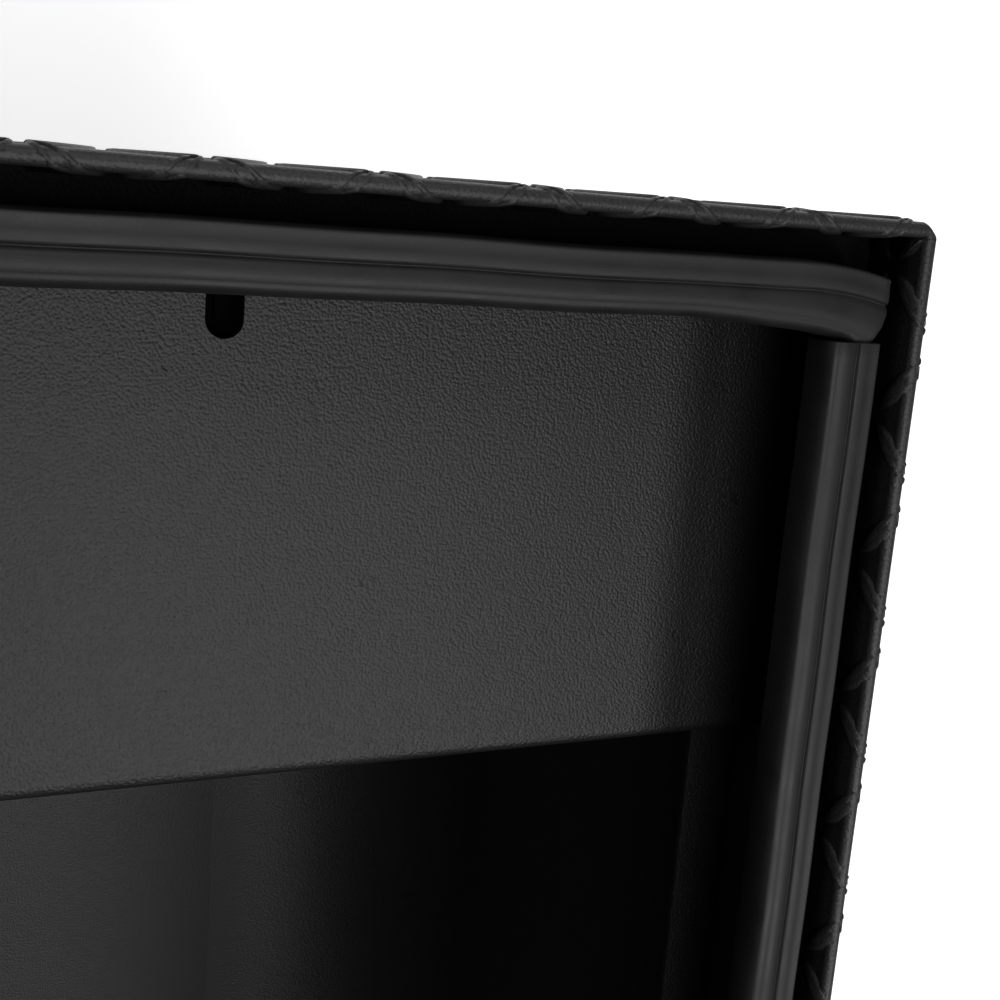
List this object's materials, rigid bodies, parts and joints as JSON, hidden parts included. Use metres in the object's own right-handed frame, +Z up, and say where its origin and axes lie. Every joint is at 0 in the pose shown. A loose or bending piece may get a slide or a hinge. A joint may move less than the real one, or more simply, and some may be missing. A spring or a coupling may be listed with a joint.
{
  "type": "truck tool box",
  "caption": "Crossover truck tool box, open lid: hemmed tread-sheet walls, rubber lid seal, saddle shelves on the bed rails, deep tub, sliding tray, gas struts, paddle latches.",
  "frame": {"origin": "centre of the tub's bottom face", "axes": "+X along the box, across the truck, to its right end; -Y the side that opens; +Z up; the lid is hinged on +Y"},
  "size_m": [1.786, 0.5398, 0.8822],
  "materials": {
    "tread_coat": "black fine-textured powder coat on tread sheet",
    "textured_coat": "black pebbled powder coat",
    "seal_rubber": "smooth dull extruded rubber",
    "plug_rubber": "moulded rubber",
    "black_steel": "satin black paint",
    "zinc_steel": "zinc plate",
    "rivet_steel": "black coated rivet heads",
    "latch_coat": "satin black coat",
    "lock_chrome": "satin chrome",
    "strut_black": "semi-gloss black paint",
    "strut_chrome": "ground chromed rod"
  },
  "bodies": {
    "box": {"front_wall": "tread_coat", "rear_wall": "tread_coat", "end_wall_right": "tread_coat", "end_wall_left": "tread_coat", "saddle_right": "textured_coat", "saddle_left": "textured_coat", "tub_floor": "textured_coat", "drain_plugs": "plug_rubber", "seal_front": "seal_rubber", "seal_rear": "seal_rubber", "seal_right": "seal_rubber", "seal_left": "seal_rubber", "rail_front": "textured_coat", "rail_rear": "textured_coat", "hinge_body_leaf": "black_steel", "hinge_pin": "zinc_steel", "hinge_body_rivets": "rivet_steel", "striker_right": "black_steel", "striker_left": "black_steel", "strut_mount_right": "black_steel", "strut_mount_left": "black_steel"},
    "lid": {"lid_skin": "tread_coat", "lid_pan": "textured_coat", "lid_ribs": "textured_coat", "hinge_lid_leaf": "black_steel", "hinge_lid_rivets": "rivet_steel", "strut_bracket_right": "black_steel", "strut_bracket_left": "black_steel", "latch_frame_right": "black_steel", "latch_frame_left": "black_steel", "latch_dish_right": "latch_coat", "latch_dish_left": "latch_coat"},
    "tray": {"tray": "textured_coat", "tray_divider": "textured_coat", "tray_handle": "black_steel"},
    "strut_tube_right": {"strut_tube_right": "strut_black"},
    "strut_rod_right": {"strut_rod_right": "strut_chrome"},
    "claw_right": {"latch_claw_right": "zinc_steel"},
    "paddle_right": {"latch_paddle_right": "latch_coat"},
    "lock_right": {"lock_cylinder_right": "lock_chrome"},
    "strut_tube_left": {"strut_tube_left": "strut_black"},
    "strut_rod_left": {"strut_rod_left": "strut_chrome"},
    "claw_left": {"latch_claw_left": "zinc_steel"},
    "paddle_left": {"latch_paddle_left": "latch_coat"},
    "lock_left": {"lock_cylinder_left": "lock_chrome"}
  },
  "joints": [
    {"name": "lid_hinge", "type": "hinge", "parent": "box", "child": "lid", "pos_m": [0, 0.2575, 0.37], "axis": [1, 0, 0], "range_deg": [0, 80], "stiffness_Nm_per_rad": 18, "springref_deg": -57.3},
    {"name": "strut_pivot_right", "type": "hinge", "parent": "box", "child": "strut_tube_right", "pos_m": [0.829, 0.2125, 0.334], "axis": [1, 0, 0], "range_deg": [-0.01, 81.83]},
    {"name": "strut_slide_right", "type": "slide", "parent": "strut_tube_right", "child": "strut_rod_right", "axis": [0, 0.0564, -0.9984], "range_m": [-0.00001, 0.07376]},
    {"name": "latch_claw_right", "type": "hinge", "parent": "lid", "child": "claw_right", "pos_m": [0.789, 0.19703, 0.62081], "axis": [0, 0.1736, -0.9848], "range_deg": [0, 50], "stiffness_Nm_per_rad": 0.05, "springref_deg": -28.65},
    {"name": "latch_paddle_right", "type": "hinge", "parent": "lid", "child": "paddle_right", "pos_m": [0.787, 0.23938, 0.62828], "axis": [0, -0.1736, 0.9848], "range_deg": [0, 40], "stiffness_Nm_per_rad": 0.3, "springref_deg": -28.65},
    {"name": "lock_turn_right", "type": "hinge", "parent": "lid", "child": "lock_right", "pos_m": [0.814, 0.2396, 0.58668], "axis": [0, 0.9848, 0.1736], "range_deg": [0, 90]},
    {"name": "strut_pivot_left", "type": "hinge", "parent": "box", "child": "strut_tube_left", "pos_m": [-0.829, 0.2125, 0.334], "axis": [1, 0, 0], "range_deg": [-0.01, 81.83]},
    {"name": "strut_slide_left", "type": "slide", "parent": "strut_tube_left", "child": "strut_rod_left", "axis": [0, 0.0564, -0.9984], "range_m": [-0.00001, 0.07376]},
    {"name": "latch_claw_left", "type": "hinge", "parent": "lid", "child": "claw_left", "pos_m": [-0.789, 0.19703, 0.62081], "axis": [0, -0.1736, 0.9848], "range_deg": [0, 50], "stiffness_Nm_per_rad": 0.05, "springref_deg": -28.65},
    {"name": "latch_paddle_left", "type": "hinge", "parent": "lid", "child": "paddle_left", "pos_m": [-0.787, 0.23938, 0.62828], "axis": [0, 0.1736, -0.9848], "range_deg": [0, 40], "stiffness_Nm_per_rad": 0.3, "springref_deg": -28.65},
    {"name": "lock_turn_left", "type": "hinge", "parent": "lid", "child": "lock_left", "pos_m": [-0.814, 0.2396, 0.58668], "axis": [0, 0.9848, 0.1736], "range_deg": [0, 90]},
    {"name": "tray_slide", "type": "slide", "parent": "box", "child": "tray", "axis": [1, 0, 0], "range_m": [0, 1.012]}
  ],
  "couplings": [
    {"joint": "strut_pivot_right", "follows": "lid_hinge", "ratio": 1.0228},
    {"joint": "strut_slide_right", "follows": "lid_hinge", "m_per_rad": 0.052823},
    {"joint": "strut_pivot_left", "follows": "lid_hinge", "ratio": 1.0228},
    {"joint": "strut_slide_left", "follows": "lid_hinge", "m_per_rad": 0.052823}
  ]
}
